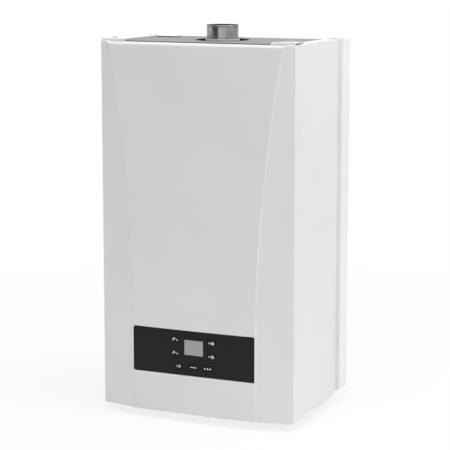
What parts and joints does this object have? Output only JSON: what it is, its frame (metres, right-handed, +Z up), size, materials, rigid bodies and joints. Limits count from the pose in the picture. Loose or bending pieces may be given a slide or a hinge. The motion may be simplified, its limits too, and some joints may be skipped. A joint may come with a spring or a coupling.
{
  "type": "gas boiler",
  "caption": "Wall-hung gas boiler with sealed chamber, fan flue on top, swinging front cover and a tilting control box with display and keys",
  "frame": {"origin": "centre line of the rear frame's back face, 640 mm above the bottom edge of the front cover, on the wall plane", "axes": "+Y into the wall, -Y the front, +X to the right seen from the front, +Z up"},
  "size_m": [0.412, 0.2731, 0.7437],
  "materials": {
    "white_paint": "satin white enamel",
    "grey_paint": "matt grey",
    "zinc_sheet": "zinc coated",
    "steel": "brushed",
    "copper": "satin copper",
    "brass": "satin",
    "aluminium": "cast, satin",
    "black_iron": "painted black",
    "black_plastic": "satin black",
    "dark_plastic": "matt dark grey",
    "grey_plastic": "matt grey",
    "red_paint": "satin red",
    "red_plastic": "matt red",
    "silicone": "matt off-white",
    "black_rubber": "matt black",
    "ceramic": "glazed white",
    "insulation_board": "fibrous, off-white",
    "circuit_board": "green lacquer",
    "display": "grey liquid crystal",
    "clear_glass": "clear"
  },
  "bodies": {
    "casing": {"rear_frame": "white_paint", "side_panel_left": "white_paint", "side_panel_right": "white_paint", "top_plate": "grey_paint", "front_rail": "zinc_sheet", "connection_plate": "zinc_sheet", "cable_gland": "black_rubber", "flue_outlet": "steel", "flue_seal": "silicone", "air_chamber": "zinc_sheet", "chamber_cover": "zinc_sheet", "sight_glass": "clear_glass", "combustion_box": "insulation_board", "burner": "steel", "gas_manifold": "aluminium", "heat_exchanger": "copper", "flue_hood": "aluminium", "fan_housing": "aluminium", "fan_motor": "black_iron", "air_pressure_switch": "grey_plastic", "ignition_electrode": "ceramic", "flame_electrode": "ceramic", "expansion_vessel": "red_paint", "vessel_tube": "steel", "pump_body": "black_iron", "pump_motor": "aluminium", "air_vent": "brass", "return_manifold": "brass", "flow_manifold": "brass", "diverter_motor": "dark_plastic", "plate_exchanger": "steel", "gas_valve": "aluminium", "gas_inlet_pipe": "brass", "gas_pipe": "copper", "flow_pipe": "copper", "return_pipe": "copper", "safety_valve": "brass"},
    "cover": {"front_cover": "white_paint", "cover_hook_left": "white_paint", "cover_hook_right": "white_paint", "cover_screw_left": "zinc_sheet", "cover_screw_right": "zinc_sheet"},
    "control_unit": {"control_box": "dark_plastic", "control_rear_lid": "dark_plastic", "control_fascia": "black_plastic", "display_module": "display", "circuit_board": "circuit_board"},
    "upper_left_key": {"key_upper_left": "black_plastic"},
    "upper_right_key": {"key_upper_right": "black_plastic"},
    "lower_left_key": {"key_lower_left": "black_plastic"},
    "lower_right_key": {"key_lower_right": "black_plastic"},
    "row_left_key": {"key_row_left": "black_plastic"},
    "row_middle_key": {"key_row_middle": "black_plastic"},
    "row_right_key": {"key_row_right": "black_plastic"},
    "fan_wheel": {"fan_impeller": "aluminium"},
    "pump_wheel": {"pump_impeller": "grey_plastic"},
    "diverter": {"diverter_stem": "steel"},
    "safety_cap": {"safety_knob": "red_plastic"},
    "fill_tap": {"fill_knob": "black_plastic"},
    "drain_tap": {"drain_knob": "grey_plastic"}
  },
  "joints": [
    {"name": "cover_swing", "type": "hinge", "parent": "casing", "child": "cover", "pos_m": [0, -0.217, 0.0613], "axis": [-1, 0, 0], "range_deg": [0, 20]},
    {"name": "control_tilt", "type": "hinge", "parent": "casing", "child": "control_unit", "pos_m": [0, -0.2525, -0.571], "axis": [1, 0, 0], "range_deg": [0, 72]},
    {"name": "upper_left_press", "type": "slide", "parent": "control_unit", "child": "upper_left_key", "axis": [0, 1, 0], "range_m": [0, 0.001], "stiffness_N_per_m": 400},
    {"name": "upper_right_press", "type": "slide", "parent": "control_unit", "child": "upper_right_key", "axis": [0, 1, 0], "range_m": [0, 0.001], "stiffness_N_per_m": 400},
    {"name": "lower_left_press", "type": "slide", "parent": "control_unit", "child": "lower_left_key", "axis": [0, 1, 0], "range_m": [0, 0.001], "stiffness_N_per_m": 400},
    {"name": "lower_right_press", "type": "slide", "parent": "control_unit", "child": "lower_right_key", "axis": [0, 1, 0], "range_m": [0, 0.001], "stiffness_N_per_m": 400},
    {"name": "row_left_press", "type": "slide", "parent": "control_unit", "child": "row_left_key", "axis": [0, 1, 0], "range_m": [0, 0.001], "stiffness_N_per_m": 400},
    {"name": "row_middle_press", "type": "slide", "parent": "control_unit", "child": "row_middle_key", "axis": [0, 1, 0], "range_m": [0, 0.001], "stiffness_N_per_m": 400},
    {"name": "row_right_press", "type": "slide", "parent": "control_unit", "child": "row_right_key", "axis": [0, 1, 0], "range_m": [0, 0.001], "stiffness_N_per_m": 400},
    {"name": "fan_spin", "type": "hinge", "parent": "casing", "child": "fan_wheel", "pos_m": [0, -0.159, 0.0007], "axis": [0, 1, 0], "continuous": true},
    {"name": "pump_spin", "type": "hinge", "parent": "casing", "child": "pump_wheel", "pos_m": [0.112, -0.091, -0.5096], "axis": [0, 1, 0], "continuous": true},
    {"name": "diverter_travel", "type": "slide", "parent": "casing", "child": "diverter", "axis": [0, 0, -1], "range_m": [0, 0.006]},
    {"name": "safety_turn", "type": "hinge", "parent": "casing", "child": "safety_cap", "pos_m": [0.078, -0.1116, -0.5839], "axis": [0, -1, 0], "range_deg": [0, 90], "stiffness_Nm_per_rad": 0.05},
    {"name": "fill_turn", "type": "hinge", "parent": "casing", "child": "fill_tap", "pos_m": [0.0975, -0.075, -0.622], "axis": [0, 0, 1], "range_deg": [0, 360]},
    {"name": "drain_turn", "type": "hinge", "parent": "casing", "child": "drain_tap", "pos_m": [-0.0975, -0.075, -0.622], "axis": [0, 0, 1], "range_deg": [0, 360]}
  ],
  "couplings": [
    {"joint": "control_tilt", "follows": "cover_swing", "ratio": 3.6}
  ]
}
